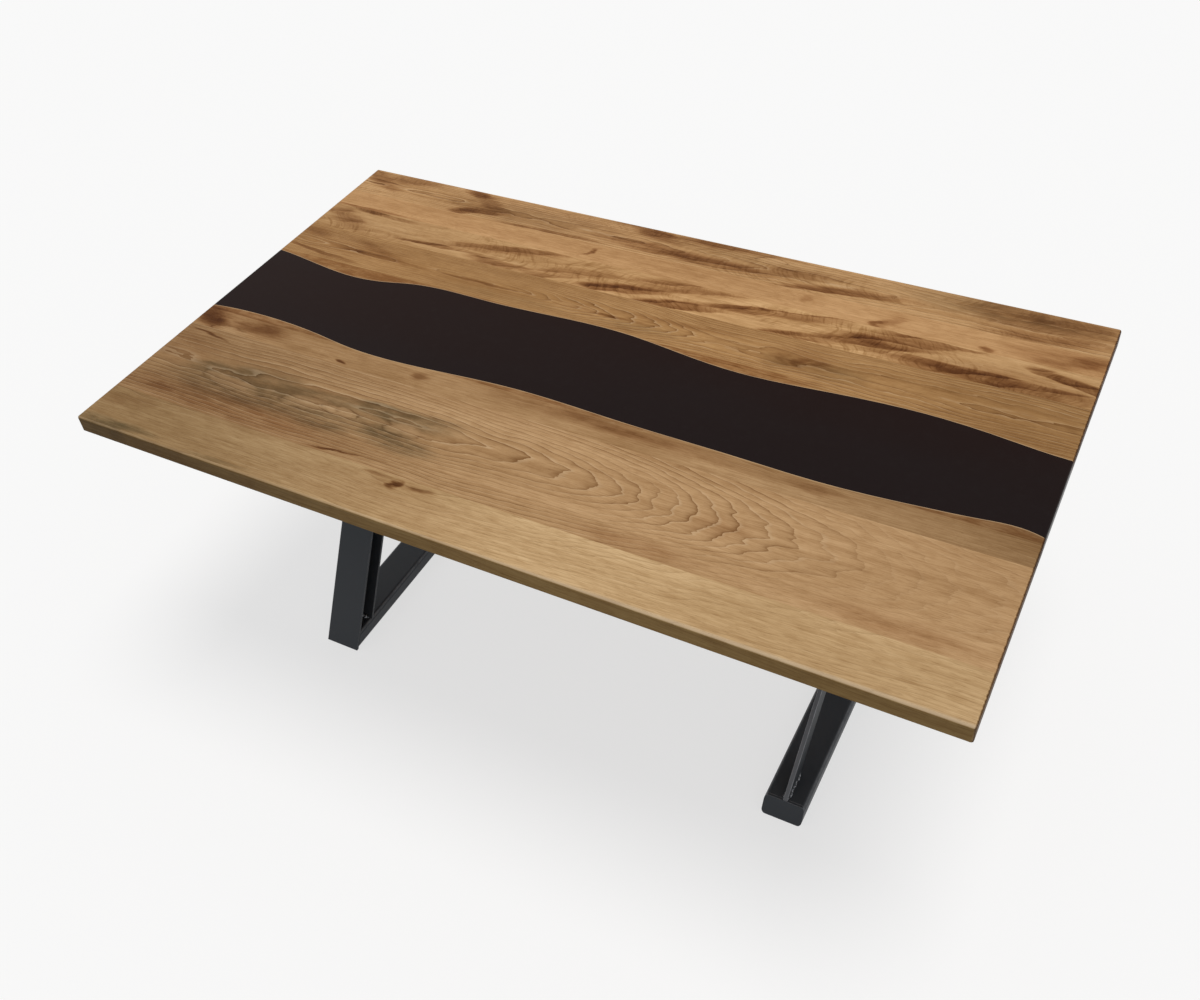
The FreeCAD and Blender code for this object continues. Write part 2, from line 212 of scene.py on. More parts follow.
boards = {
    "rear_outer_board": Board(
        colour=(0.652, 0.400, 0.192), pith_y=0.470, pith=(0.020, 0.050, -0.3, 0.7),
        ring=0.0062, rings=1.00, curl=0.75, lean=4, blotch=0.50, left_shade=0.0, right_shade=0.18,
        brown=[
            Mark(-0.600, 0.520, 0.16, 0.050, -16, 0.80), Mark(-0.860, 0.488, 0.20, 0.070, -28, 0.60),
            Mark(-0.545, 0.488, 0.16, 0.085, -30, 0.50),
            Mark(-0.555, 0.444, 0.24, 0.050, 14, 0.85, 1), Mark(-0.010, 0.455, 0.60, 0.060, -1, 0.85),
            Mark(-0.130, 0.518, 0.26, 0.060, -14, 0.85), Mark(0.080, 0.524, 0.40, 0.050, 4, 0.65),
            Mark(0.380, 0.450, 0.40, 0.050, 8, 0.75, 1), Mark(0.780, 0.500, 0.50, 0.120, 0, 0.60),
            Mark(0.800, 0.448, 0.40, 0.060, 8, 0.60), Mark(-0.340, 0.430, 0.40, 0.024, 2, 0.60, 1),
            Mark(0.240, 0.480, 0.34, 0.050, 8, 0.50), Mark(-0.780, 0.515, 0.30, 0.060, 10, 0.45),
        ],
        grey=[Mark(0.20, 0.49, 0.8, 0.09, 0, 0.18), Mark(-0.42, 0.475, 0.6, 0.11, 0, 0.40),
              Mark(0.68, 0.500, 0.70, 0.10, 0, 0.50)],
        red=[Mark(-0.38, 0.480, 0.7, 0.14, 0, 0.45)],
        eyes=[Mark(0.175, 0.507, 0.085, 0.032, 0, 0.7), Mark(0.420, 0.515, 0.070, 0.022, 0, 0.5)],
    ),
    "rear_second_board": Board(
        colour=(0.634, 0.376, 0.178), pith_y=0.340, pith=(0.050, 0.070, -0.9, 0.9),
        ring=0.0060, rings=0.15, curl=0.25, lean=0, blotch=0.40, left_shade=0.0, right_shade=0.05,
        brown=[
            Mark(-0.225, 0.390, 0.060, 0.022, 72, 0.70), Mark(0.300, 0.398, 0.050, 0.044, 80, 0.35),
            Mark(0.472, 0.373, 0.050, 0.032, 60, 0.80), Mark(0.693, 0.367, 0.048, 0.024, 20, 0.70),
            Mark(0.484, 0.382, 0.090, 0.060, 50, 0.40),
            Mark(-0.800, 0.362, 0.300, 0.018, 0, 0.60, -1), Mark(0.860, 0.390, 0.20, 0.060, 20, 0.45),
        ],
        red=[Mark(0.840, 0.392, 0.34, 0.090, 0, 0.60), Mark(-0.45, 0.385, 0.5, 0.05, 0, 0.2)],
    ),
    "rear_third_board": Board(
        colour=(0.742, 0.466, 0.228), pith_y=0.300, pith=(0.040, 0.090, -0.9, 0.9),
        ring=0.0054, rings=0.20, curl=0.95, lean=12, blotch=0.40, left_shade=0.48, right_shade=0.45,
        brown=[
            Mark(-0.425, 0.326, 0.44, 0.062, 191, 0.64, 1), Mark(-0.390, 0.274, 0.24, 0.050, 0, 0.75, -1),
            Mark(-0.220, 0.290, 0.32, 0.070, 20, 0.48, 1), Mark(-0.080, 0.284, 0.30, 0.060, 13, 1.00, 1),
            Mark(0.060, 0.272, 0.32, 0.056, 11, 1.00, 1), Mark(0.260, 0.328, 0.44, 0.056, 10, 0.85, -1),
            Mark(0.330, 0.264, 0.26, 0.046, 8, 0.85, 1), Mark(0.510, 0.312, 0.36, 0.090, 12, 1.00, 1),
            Mark(0.720, 0.282, 0.60, 0.080, 0, 1.00, -1), Mark(0.870, 0.318, 0.24, 0.046, -14, 0.95, 1),
            Mark(-0.770, 0.352, 0.30, 0.030, -3, 0.75, -1), Mark(-0.850, 0.310, 0.26, 0.080, -24, 0.60),
            Mark(-0.560, 0.281, 0.32, 0.026, 3, 0.75, 1), Mark(0.600, 0.350, 0.30, 0.030, 0, 0.70, -1),
            Mark(0.040, 0.338, 0.40, 0.070, 6, 0.60), Mark(0.462, 0.306, 0.17, 0.050, 10, 1.20),
        ],
        red=[Mark(-0.08, 0.286, 0.26, 0.06, 14, 0.6), Mark(0.74, 0.290, 0.50, 0.08, 0, 0.5)],
    ),
    "rear_river_board": Board(
        colour=(0.510, 0.294, 0.123), pith_y=0.192, pith=(0.012, 0.060, -0.30, 0.25),
        ring=0.0052, rings=1.00, curl=0.20, lean=0, blotch=0.45, left_shade=0.12, right_shade=0.48,
        brown=[
            Mark(0.364, 0.187, 0.054, 0.040, 55, 0.55), Mark(-0.650, 0.190, 0.34, 0.024, -2, 0.50, 1),
            Mark(-0.800, 0.160, 0.26, 0.022, -6, 0.60, -1), Mark(0.100, 0.215, 0.42, 0.024, 2, 0.25),
            Mark(-0.400, 0.190, 0.34, 0.014, 0, 0.55), Mark(-0.080, 0.186, 0.30, 0.014, 0, 0.60),
            Mark(-0.680, 0.215, 0.26, 0.040, -14, 0.35), Mark(-0.880, 0.232, 0.12, 0.060, 0, 0.40),
            Mark(0.330, 0.188, 0.080, 0.040, -35, 0.35), Mark(0.392, 0.192, 0.070, 0.024, 30, 0.40),
        ],
        grey=[Mark(0.42, 0.178, 0.26, 0.07, 4, 0.45), Mark(0.33, 0.18, 0.12, 0.08, 0, 0.4),
              Mark(-0.30, 0.160, 0.50, 0.05, 1, 0.25), Mark(0.00, 0.168, 0.34, 0.05, 2, 0.30)],
        red=[Mark(0.36, 0.190, 0.24, 0.12, 0, 0.45), Mark(-0.75, 0.20, 0.5, 0.10, 0, 0.4)],
        eyes=[Mark(-0.150, 0.188, 0.17, 0.016, 0, 0.5)],
    ),
    "front_river_board": Board(
        colour=(0.510, 0.320, 0.161), pith_y=-0.050, pith=(0.110, 0.140, -0.9, 0.9),
        ring=0.0050, rings=0.35, curl=0.15, lean=-3, blotch=0.85, left_shade=0.10, right_shade=0.65,
        brown=[
            Mark(-0.880, -0.145, 0.18, 0.100, -24, 0.95), Mark(-0.740, -0.142, 0.16, 0.060, 12, 0.55),
            Mark(-0.505, -0.172, 0.046, 0.014, 0, 0.90), Mark(-0.330, -0.152, 0.070, 0.036, 0, 0.50),
            Mark(0.100, -0.138, 0.44, 0.034, -2, 0.40), Mark(0.520, -0.145, 0.16, 0.040, 0, 0.35),
        ],
        red=[Mark(0.10, -0.140, 0.90, 0.06, -1, 0.45), Mark(-0.80, -0.145, 0.36, 0.09, 0, 0.5)],
        eyes=[Mark(-0.810, -0.180, 0.12, 0.044, 0, 0.50)],
    ),
    "front_second_board": Board(
        colour=(0.582, 0.370, 0.192), pith_y=-0.286, pith=(0.045, 0.200, -0.25, 1.05),
        ring=0.0080, rings=0.95, curl=0.10, lean=3, blotch=0.40, left_shade=0.65, right_shade=0.08,
        brown=[
            Mark(-0.370, -0.408, 0.16, 0.009, 7, 0.85), Mark(-0.800, -0.385, 0.30, 0.030, 4, 0.30),
            Mark(-0.840, -0.203, 0.17, 0.012, -8, 0.70),
        ],
        grey=[
            Mark(-0.510, -0.300, 0.86, 0.170, 6, 0.78, -1), Mark(-0.655, -0.282, 0.34, 0.080, 8, 0.80),
            Mark(-0.280, -0.266, 0.34, 0.100, 3, 1.00, -1), Mark(-0.280, -0.333, 0.28, 0.085, -8, 0.95),
            Mark(-0.432, -0.354, 0.24, 0.060, 0, 0.75), Mark(-0.755, -0.293, 0.16, 0.056, 10, 0.90),
        ],
        red=[Mark(-0.64, -0.384, 0.90, 0.120, 0, 0.85), Mark(-0.87, -0.25, 0.26, 0.16, 0, 0.40),
             Mark(0.29, -0.402, 0.40, 0.06, 0, 0.50), Mark(0.75, -0.396, 0.40, 0.07, 0, 0.50),
             Mark(0.41, -0.300, 0.16, 0.08, 10, 0.40)],
        eyes=[Mark(-0.690, -0.320, 0.20, 0.042, -6, 0.50), Mark(-0.490, -0.310, 0.16, 0.054, 4, 0.45),
              Mark(-0.418, -0.307, 0.10, 0.032, 0, 0.75), Mark(-0.265, -0.302, 0.12, 0.040, 0, 0.5)],
        fade=0.30,
    ),
    "front_outer_board": Board(
        colour=(0.674, 0.466, 0.250), pith_y=-0.345, pith=(0.140, 0.230, -0.2, 0.9),
        ring=0.0062, rings=0.50, curl=0.08, lean=2, blotch=0.34, left_shade=1.0, right_shade=0.15,
        brown=[
            Mark(-0.180, -0.440, 0.034, 0.040, 20, 1.00), Mark(-0.125, -0.436, 0.090, 0.016, 4, 0.55),
            Mark(-0.230, -0.428, 0.100, 0.014, 0, 0.50),
        ],
        grey=[Mark(-0.835, -0.521, 0.30, 0.036, 2, 0.95), Mark(-0.560, -0.524, 0.22, 0.018, 0, 0.5)],
        red=[Mark(-0.17, -0.440, 0.20, 0.07, 0, 0.5), Mark(-0.85, -0.445, 0.22, 0.06, 15, 0.5),
             Mark(-0.60, -0.410, 0.70, 0.09, 0, 0.35), Mark(-0.20, -0.470, 0.70, 0.14, 0, 0.30)],
    ),
}

# The colour changes along a straight line where the wavy inner edge crosses a narrow strip, which
# stops at a place along the board.
Sliver = namedtuple("Sliver", "line end")
slivers = {"rear_river_board": Sliver(0.137, 0.45), "front_river_board": Sliver(-0.121, 1.0)}
sliver_blur = 0.0012
sliver_fade = 0.12

# How far from the river the pale line in the wood starts, and where it is complete
bank_line_reach = (0.0024, 0.0008)

outer_boards = ("rear_outer_board", "front_outer_board")


def oval(shader, place, mark):
    """A place in the mark's own measure, and how far it is inside: 0 at the mark's edge, 1 at its middle."""
    right_through = 1000.0
    mapped = shader.add("ShaderNodeMapping", {
        "Vector": place, "Location": (mark.x, mark.y, top_surface),
        "Rotation": (0.0, 0.0, math.radians(mark.turn)),
        "Scale": (mark.length / 2, mark.width / 2, right_through),
    }, vector_type="TEXTURE").outputs[0]
    return mapped, shader.add("ShaderNodeTexGradient", {0: mapped}, gradient_type="SPHERICAL").outputs["Fac"]


def eyes(shader, place, marks, seed):
    """How much of the marks the eyes take away at a place, and how dark their broken rims are."""
    clear = 0.0
    rim = 0.0
    outline = shader.sway((24, 75, 24), 0.9, 4.0, seed)
    broken = shader.step(shader.noise((22, 60, 22), 2.0, 0.5, seed + 1), 0.40, 0.58)
    for mark in marks:
        within = oval(shader, place, mark)[1]
        inside = shader.math("MULTIPLY_ADD", outline, shader.step(within, 0.0, 0.2), within)
        clear = shader.math("MAXIMUM", clear, shader.step(inside, 0.12, 0.50, 0.0, mark.depth))
        fading = shader.step(inside, 0.30, 0.14, 0.0, mark.depth)
        rim = shader.math("MAXIMUM", rim, shader.math("MULTIPLY", shader.step(inside, 0.02, 0.14), fading))
    return clear, shader.math("MULTIPLY", rim, broken)


def spots(shader, smooth, ragged, marks):
    """How dark the marks are at a place: the darkest one there. Those with a sharp side are smooth."""
    darkest = 0.0
    for mark in marks:
        mapped, inside = oval(shader, smooth if mark.edge else ragged, mark)
        full = 0.55 if mark.edge else 0.80
        dark = shader.step(inside, 0.0, full, 0.0, mark.depth)
        if mark.edge:
            along, aside = shader.split(mapped)[:2]
            sharp_side = shader.step(aside, -0.44 * mark.edge, -0.26 * mark.edge)
            fading = shader.step(along, 0.9, -0.3, 0.5, 1.0)
            dark = shader.math("MULTIPLY", shader.math("MULTIPLY", dark, sharp_side), fading)
        darkest = shader.math("MAXIMUM", darkest, dark)
    return darkest


def bank_distance(shader, side):
    """How far a place is from the river's wavy edge at one side, straight across the board."""
    decimals = 5
    line = sorted({(round(v.co.x, decimals), round(v.co.y, decimals))
                   for v in nodes["resin_river"].data.vertices
                   if round(v.co.z, decimals) == round(top_surface, decimals) and v.co.y * side > 0})
    start, end = line[0][0], line[-1][0]
    low, high = min(across for along, across in line), max(across for along, across in line)
    share = shader.add("ShaderNodeMapRange", {0: shader.x, 1: start, 2: end}).outputs[0]
    wave = shader.add("ShaderNodeFloatCurve", {"Value": share})
    points = wave.mapping.curves[0].points
    for point, across in zip(points, (line[0][1], line[-1][1])):
        point.location.y = (across - low) / (high - low)
    for along, across in line[1:-1]:
        points.new((along - start) / (end - start), (across - low) / (high - low))
    for point in points:
        point.handle_type = "VECTOR"
    wave.mapping.update()
    bank = shader.add("ShaderNodeMapRange", {0: wave.outputs[0], 3: low, 4: high}).outputs[0]
    return shader.math("ABSOLUTE", shader.math("SUBTRACT", shader.y, bank))


def growth_rings(shader, board, seed):
    """Rings, counted outwards from the pith: how dark they are at a place, how pale the light side of
    one is there, and how much late wood there is."""
    wander = shader.math("ADD", shader.sway((1.3, 7, 7), 0.035, shift=seed), shader.sway((13, 45, 45), 0.005))
    across = shader.math("ADD", shader.math("SUBTRACT", shader.y, board.pith_y), wander)
    shallow, deep, start, end = board.pith
    sinking = shader.step(shader.x, start, end, shallow - top_surface, deep - top_surface)
    slow_drift = shader.sway((2.6, 0.5, 0.5), 0.03, 3.0, seed)
    drift = shader.math("ADD", slow_drift, shader.sway((6, 34, 34), 0.015, 3.0, seed + 6))
    below = shader.math("ADD", shader.math("ADD", sinking, shader.z), drift)
    radius = shader.math("SQRT", shader.math("ADD", shader.math("MULTIPLY", across, across),
                                             shader.math("MULTIPLY", below, below)))
    count = shader.math("DIVIDE", radius, board.ring)
    count = shader.math("ADD", count, shader.sway((3, 16, 16), 1.6, 2.0, seed))
    grown = shader.math("FRACT", count)
    late = shader.math("POWER", grown, late_power)
    early = shader.math("MULTIPLY", grown, grown)
    own = shader.add("ShaderNodeTexWhiteNoise", {"W": shader.math("FLOOR", count)}, noise_dimensions="1D")
    shown = shader.math("MULTIPLY", shader.step(own.outputs["Value"], 0.10, 0.90, 0.45, 1.0),
                        shader.step(shader.noise((1.6, 9, 9), 2.0, shift=seed + 5), 0.30, 0.55, 0.45, 1.0))
    strength = shader.step(shader.x, *ring_fade_span, board.rings, board.rings * board.fade)
    shown = shader.math("MULTIPLY", shown, strength)
    line = shader.math("MULTIPLY_ADD", late, late_share, shader.math("MULTIPLY", early, early_share))
    rings = shader.math("MULTIPLY", line, shown, clamp=True)
    pale_side = shader.math("MULTIPLY", shader.step(grown, 0.22, 0.04, 0.0, pale_side_share), shown)
    return rings, pale_side, late


def curl(shader, board, seed):
    """Figure across the grain: flames that are sharp at one side and fade at the other, short strokes,
    and how much of both a place has."""
    climb = shader.math("MULTIPLY_ADD", shader.x, -math.tan(math.radians(board.lean)),
                        shader.math("ADD", shader.y, shader.sway((5, 18, 5), 0.060, 4.0, seed + 11)))
    flames = shader.math("FRACT", shader.math("DIVIDE", climb, flame_spacing))
    flames = shader.math("POWER", shader.math("SUBTRACT", 1.0, flames), flame_power)
    off_pith = shader.math("SUBTRACT", shader.y, board.pith_y)
    slant = shader.math("MULTIPLY", off_pith, shader.sway((2.2, 9, 2), 6.0, 2.0, seed + 16))
    strokes = shader.noise((125, 26, 26), 2.0, 0.6, seed + 9, shader.warp(slant, 0.0))
    curled = shader.step(shader.noise((3.2, 13, 3), 2.0, 0.5, seed + 7), 0.44, 0.64)
    return flames, shader.step(strokes, 0.45, 0.66), curled


def stained_marks(shader, board, seed):
    """The brown, grey and red marks at a place, with flame-like edges, and the clear wood and the rims of
    the eyes in them."""
    ragged_along = shader.sway((18, 60, 18), 0.060, 3.0, seed + 13)
    ragged_across = shader.sway((22, 70, 22), 0.006, 3.0, seed + 14)
    wave_along = shader.sway((7, 26, 7), 0.08, 3.0, seed + 1)
    wave_across = shader.sway((14, 50, 14), 0.014, 3.0, seed + 4)
    smooth = shader.warp(wave_along, wave_across)
    ragged = shader.warp(
        shader.math("ADD", wave_along, ragged_along), shader.math("ADD", wave_across, ragged_across))
    stains = [spots(shader, smooth, ragged, marks) for marks in (board.brown, board.grey, board.red)]
    if not board.eyes:
        return *stains, 0.0, 0.0
    return *stains, *eyes(shader, shader.warp(ragged_along, ragged_across), board.eyes, seed + 15)


def river_side(shader, colour, sliver, mottle):
    """The colour with a narrow strip along the river, and a pale line where the resin meets the wood."""
    way = math.copysign(sliver_blur, sliver.line)
    strip = shader.step(shader.y, sliver.line + way, sliver.line - way)
    strip = shader.math("MULTIPLY", strip, shader.step(shader.x, sliver.end, sliver.end - sliver_fade))
    strip = shader.math("MULTIPLY", strip, shader.step(mottle, 0.30, 0.65, 0.35, 0.85))
    colour = shader.stain(colour, strip, red_tint)
    pale_line = shader.step(bank_distance(shader, sliver.line), *bank_line_reach, 0.0, 0.50)
    return shader.mix("MIX", pale_line, colour, bank_pale)


def edge_highlight_and_shade(shader, colour, facing):
    """The colour with a painted highlight along the long rounded edge of an outer board and on the top beside
    it, and painted shade on its side face.
    """
    side = shader.math("ABSOLUTE", facing)
    flat_light = shader.step(shader.y, *(cad_box[0].y + reach for reach in flat_highlight_reach))
    flat_light = shader.math("MULTIPLY", flat_light, shader.step(shader.x, *flat_highlight_span, 0.0, 0.8))
    arris_light = shader.math("MAXIMUM", flat_light, shader.step(side, 0.06, 0.28))
    arris_light = shader.math("MULTIPLY", arris_light, shader.step(side, 0.97, 0.70, 0.0, 0.60))
    arris_light = shader.math("MULTIPLY", arris_light, shader.step(shader.x, *arris_highlight_span, 0.20, 1.0))
    colour = shader.mix("MIX", arris_light, colour, arris_highlight)
    return shader.stain(colour, shader.step(side, 0.75, 0.97), side_shade_tint)


def wood(name, board, seed):
    """Stained maple: rings round the pith, fibres, curl across the grain, marks and dark end grain."""
    shader = Shader(name)
    rings, pale_side, late = growth_rings(shader, board, seed)
    flames, strokes, curled = curl(shader, board, seed)
    brown, grey, red, clear, rim = stained_marks(shader, board, seed)

    # Fibres, pores, slow changes of tone along the board, and its darker ends: each with the values from
    # which it shows and at which it is complete, its strength and its tint
    fibres = shader.noise((22, 430, 430), 3.0, 0.65, seed)
    streaks = shader.noise((1.8, 70, 70), 4.0, 0.6, seed + 2)
    mottle = shader.noise((24, 62, 24), 4.0, 0.6, seed + 8)
    blotches = shader.noise((2.4, 10, 10), 3.0, 0.5, seed + 3)
    pores = shader.noise((60, 800, 800), 1.0, 0.5, seed)
    colour = board.colour
    for figure, low, high, amount, tint in (
            (blotches, 0.35, 0.70, board.blotch, blotch_tint),
            (streaks, 0.38, 0.70, 0.50, fibre_tint),
            (mottle, 0.38, 0.70, 0.36, fibre_tint),
            (fibres, 0.36, 0.70, 0.55, fibre_tint),
            (pores, 0.62, 0.72, 0.35, ring_tint),
            (shader.x, *left_shade_span, board.left_shade, shade_tint),
            (shader.x, *right_shade_span, board.right_shade, shade_tint)):
        colour = shader.stain(colour, shader.step(figure, low, high, 0.0, amount), tint)

    # Red and grey marks lie under the rings, brown ones over them. Both are patchy, and clear in the eyes.
    patches = shader.noise((14, 45, 14), 5.0, 0.70, seed + 12)
    unmarked = shader.math("SUBTRACT", 1.0, clear)
    uneven = shader.math("MULTIPLY", shader.step(patches, 0.34, 0.62, 0.50, 1.0), unmarked)
    for amount, tint in ((red, red_tint), (grey, grey_tint)):
        if amount:
            colour = shader.stain(colour, shader.math("MULTIPLY", amount, uneven), tint)
    if board.eyes:
        colour = shader.mix("MIX", shader.math("MULTIPLY", clear, eye_share), colour, ring_pale)
        colour = shader.stain(colour, rim, ring_tint)
    colour = shader.stain(colour, rings, ring_tint)
    colour = shader.mix("MIX", pale_side, colour, ring_pale)
    broken = shader.step(flames, 0.0, 1.0, 1.0 - flame_break * board.curl, 1.0)
    broken = shader.math("MULTIPLY", broken, unmarked)
    broken = shader.math("MULTIPLY", broken, shader.step(patches, 0.30, 0.56, 0.60, 1.0))
    soaked = shader.math("POWER", shader.math("MULTIPLY", brown, broken), soak_power)
    colour = shader.soak(colour, soaked, brown_tint)

    # Curl shows in places of its own and in the brown marks.
    where = shader.math("MAXIMUM", curled, shader.math("MULTIPLY", brown, curl_in_marks))
    figured = shader.math("MULTIPLY", where, board.curl)
    for figure, share in ((flames, flame_share), (strokes, stroke_share)):
        shown = shader.math("MULTIPLY", shader.math("MULTIPLY", figure, figured), share)
        colour = shader.stain(colour, shown, flame_tint)

    if name in slivers:
        colour = river_side(shader, colour, slivers[name], mottle)
    facing = shader.split(shader.add("ShaderNodeNewGeometry").outputs["Normal"])
    # Painted highlight on the rounded long edge, and painted shade on the side face
    if name in outer_boards:
        colour = edge_highlight_and_shade(shader, colour, facing[1])

    # End grain takes more stain, with a ragged start.
    cut = shader.math("ADD", shader.math("ABSOLUTE", facing[0]), shader.sway((20, 160, 160), 0.7, 3.0, seed))
    colour = shader.stain(colour, shader.step(cut, 0.25, 0.75), end_grain_tint)

    relief = shader.math("MULTIPLY_ADD", late, late_relief, fibres)
    return shader.finish(
        Base_Color=colour,
        Roughness=shader.step(streaks, 0.25, 0.75, 0.42, 0.52),
        Specular_IOR_Level=0.04,
        Normal=shader.bump(relief, 0.18, 0.0006),
    )


def resin():
    """Dark satin resin, browner at the left and rear, bluer at the front and right."""
    shader = Shader("dark_resin")
    brown, blue = (0.0100, 0.0036, 0.0026), (0.0095, 0.0062, 0.0062)
    along_share, across_share, swirl_share = 0.5, -4.0, 1.2
    swirl = shader.noise((1.6, 5, 5), 4.0, 0.6, 2.0)
    way = shader.math("MULTIPLY_ADD", shader.x, along_share, shader.math("MULTIPLY", shader.y, across_share))
    way = shader.math("MULTIPLY_ADD", shader.math("SUBTRACT", swirl, 0.5), swirl_share, way)
    colour = shader.mix("MIX", shader.step(way, -0.7, 0.8), brown, blue)
    haze = shader.noise((60, 60, 60), 3.0, 0.6)
    scuffs = shader.noise((30, 340, 30), 2.0, 0.6, 3.0)
    return shader.finish(
        Base_Color=shader.mix("SCREEN", shader.step(haze, 0.45, 0.85, 0.0, 0.0015), colour, (1, 1, 1)),
        Roughness=shader.step(swirl, 0.3, 0.7, 0.30, 0.38),
        Specular_IOR_Level=0.05,
        Specular_Tint=(1.0, 0.62, 0.58),
        Normal=shader.bump(scuffs, 0.05, 0.0003),
    )


for seed, (name, board) in enumerate(boards.items(), start=1):
    dress(name, wood(name, board, seed * wood_seed_step))
dress("resin_river", resin())

# Steel

blue_black = (0.82, 0.93, 1.08)
cloud_gain = 1.7
scuff_grey = (0.06, 0.06, 0.06)
scuff_share = 0.12
# Colour of the painted highlights on rounded corners and sharp edges
highlight_grey = (0.64, 0.65, 0.68)
# Pale grey for the paint towards the floor and for the painted highlight on faces that look up
pale_grey = (0.22, 0.225, 0.24)
# How high up the paint gets paler towards the floor, and how much paler it is at the floor
low_pale_height = 0.40
low_pale_share = 0.08
# Radius of the bevel that finds sharp edges for their painted highlight
edge_highlight_radius = 0.0018


def painted_steel(name, lightness, roughness, corner_highlight=0.0, top_highlight=0.0, sharp=False):
    """Satin black paint: a fine texture, faint clouds and scuffs, paler towards the floor, painted highlights
    on rounded corners, and on sharp edges too where a piece has them, and a painted highlight on faces that
    look up."""
    shader = Shader(name)
    clouds = shader.noise((5, 5, 5), 4.0, 0.6)
    texture = shader.noise((900, 900, 900), 2.0, 0.5)
    scuffs = shader.step(shader.noise((70, 70, 240), 3.0, 0.7, 4.0), 0.62, 0.80)
    dark = tuple(lightness * share for share in blue_black)
    cloudy = tuple(cloud_gain * share for share in dark)
    colour = shader.mix("MIX", shader.step(clouds, 0.35, 0.75, 0.0, 0.5), dark, cloudy)
    colour = shader.mix("MIX", shader.math("MULTIPLY", scuffs, scuff_share), colour, scuff_grey)
    # Paler towards the floor
    colour = shader.mix("MIX", shader.step(shader.z, low_pale_height, 0.0, 0.0, low_pale_share), colour, pale_grey)
    facing = shader.add("ShaderNodeNewGeometry").outputs["Normal"]
    axes = shader.split(facing)
    # Painted highlight on faces that look up
    if top_highlight:
        lit_top = shader.step(clouds, 0.2, 0.8, 0.6 * top_highlight, top_highlight)
        lit_top = shader.math("MULTIPLY", lit_top, shader.step(axes[2], 0.45, 0.70))
        colour = shader.mix("MIX", lit_top, colour, pale_grey)
    # Painted highlight on rounded corners, and on sharp edges too where asked
    if corner_highlight:
        sideways = shader.math("ABSOLUTE", axes[0])
        edge_light = shader.math("MULTIPLY", shader.step(sideways, 0.35, 0.60), shader.step(sideways, 0.95, 0.80))
        if sharp:
            rounded = shader.add("ShaderNodeBevel", {"Radius": edge_highlight_radius}, samples=4).outputs[0]
            turned = shader.add("ShaderNodeVectorMath", {0: facing, 1: rounded}, operation="DOT_PRODUCT")
            edge_light = shader.math("MAXIMUM", edge_light, shader.step(turned.outputs["Value"], 0.995, 0.93))
        uneven = shader.step(shader.noise((45, 45, 45), 4.0, 0.7), 0.35, 0.65, 0.45 * corner_highlight, corner_highlight)
        colour = shader.mix("MIX", shader.math("MULTIPLY", edge_light, uneven), colour, highlight_grey)
    return shader.finish(
        Base_Color=colour,
        Roughness=shader.step(clouds, 0.3, 0.7, roughness, roughness + 0.10),
        Specular_IOR_Level=0.27,
        Specular_Tint=(0.93, 0.96, 1.0),
        Normal=shader.bump(texture, 0.12, 0.0003),
    )


def weld_metal():
    """Painted weld: dark, with painted glints as bright specks on its ripples."""
    shader = Shader("weld_paint")
    # Painted glints: pale specks standing in for light caught on the ripples
    glints = shader.step(shader.noise((210, 210, 210), 3.0, 0.6), 0.50, 0.60)
    grain = shader.noise((900, 900, 900), 2.0, 0.5)
    return shader.finish(
        Base_Color=shader.mix("MIX", glints, (0.030, 0.033, 0.038), (0.66, 0.68, 0.72)),
        Roughness=shader.step(glints, 0.0, 1.0, 0.40, 0.25),
        Normal=shader.bump(grain, 0.05, 0.0003),
    )


def plated(name, colour, roughness):
    """Bare or plated metal for the fasteners, with a mottled finish."""
    shader = Shader(name)
    mottle = shader.noise((160, 160, 160), 4.0, 0.6)
    return shader.finish(
        Base_Color=shader.stain(colour, shader.step(mottle, 0.4, 0.7, 0.0, 0.5), (0.62, 0.60, 0.56)),
        Metallic=1.0,
        Roughness=shader.step(mottle, 0.3, 0.7, roughness, roughness + 0.2),
        Normal=shader.bump(mottle, 0.1, 0.0002),
    )


# Painted highlights on the rounded corners of the foot tubes and post plates, on the cap's corners and sharp
# edges, and on the brace's corners and top
paints = {
    # Paler than the other paints: painted light for the web in the post's recess, shared by the mount plate
    painted_steel("lightened_paint", 0.040, 0.42): ("post_web", "mount_plate"),
    painted_steel("corner_lit_paint", 0.030, 0.42, corner_highlight=0.22): (
        "foot_tube", "post_front_plate", "post_rear_plate"),
    painted_steel("cap_paint", 0.030, 0.42, corner_highlight=0.32, sharp=True): ("foot_cap",),
    painted_steel("top_lit_paint", 0.024, 0.38, corner_highlight=1.0, top_highlight=0.75): ("brace",),
}
for paint, pieces in paints.items():
    for piece in pieces:
        for side in ("left", "right"):
            dress(f"{piece}_{side}", paint)
weld_paint = weld_metal()
zinc = plated("zinc_plate", (0.56, 0.55, 0.52), 0.30)
dress("mount_bolts", zinc)
dress("mount_washers", zinc)
dress("threaded_inserts", plated("brass", (0.62, 0.44, 0.18), 0.32))

# Welds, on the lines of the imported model's plain beads. Each of these is the low and the high corner of a
# piece of the left leg.
foot_cap, front_plate, rear_plate, web, brace, beads = (
    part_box(f"{piece}_left") for piece in (
        "foot_cap", "post_front_plate", "post_rear_plate", "post_web", "brace", "weld_beads"))
leg_middle = (foot_cap[0].x + foot_cap[1].x) / 2
foot_top = foot_cap[1].z
post_head = front_plate[1].z
lean = (front_plate[1].y - web[0].y) / (post_head - foot_top)
weld_leg = rear_plate[0].y - beads[0].y
tack_leg = weld_leg * 2 / 3

# How far apart the lumps are in the welds behind the post, in its recess and along the brace
post_lumps, recess_lumps, brace_lumps = 0.016, 0.008, 0.022

# The steps along a bead and round it, and how blunt its ends are
bead_step = 0.0008
fewest_steps = 12
arc_steps = 10
blunt_end = 0.0002

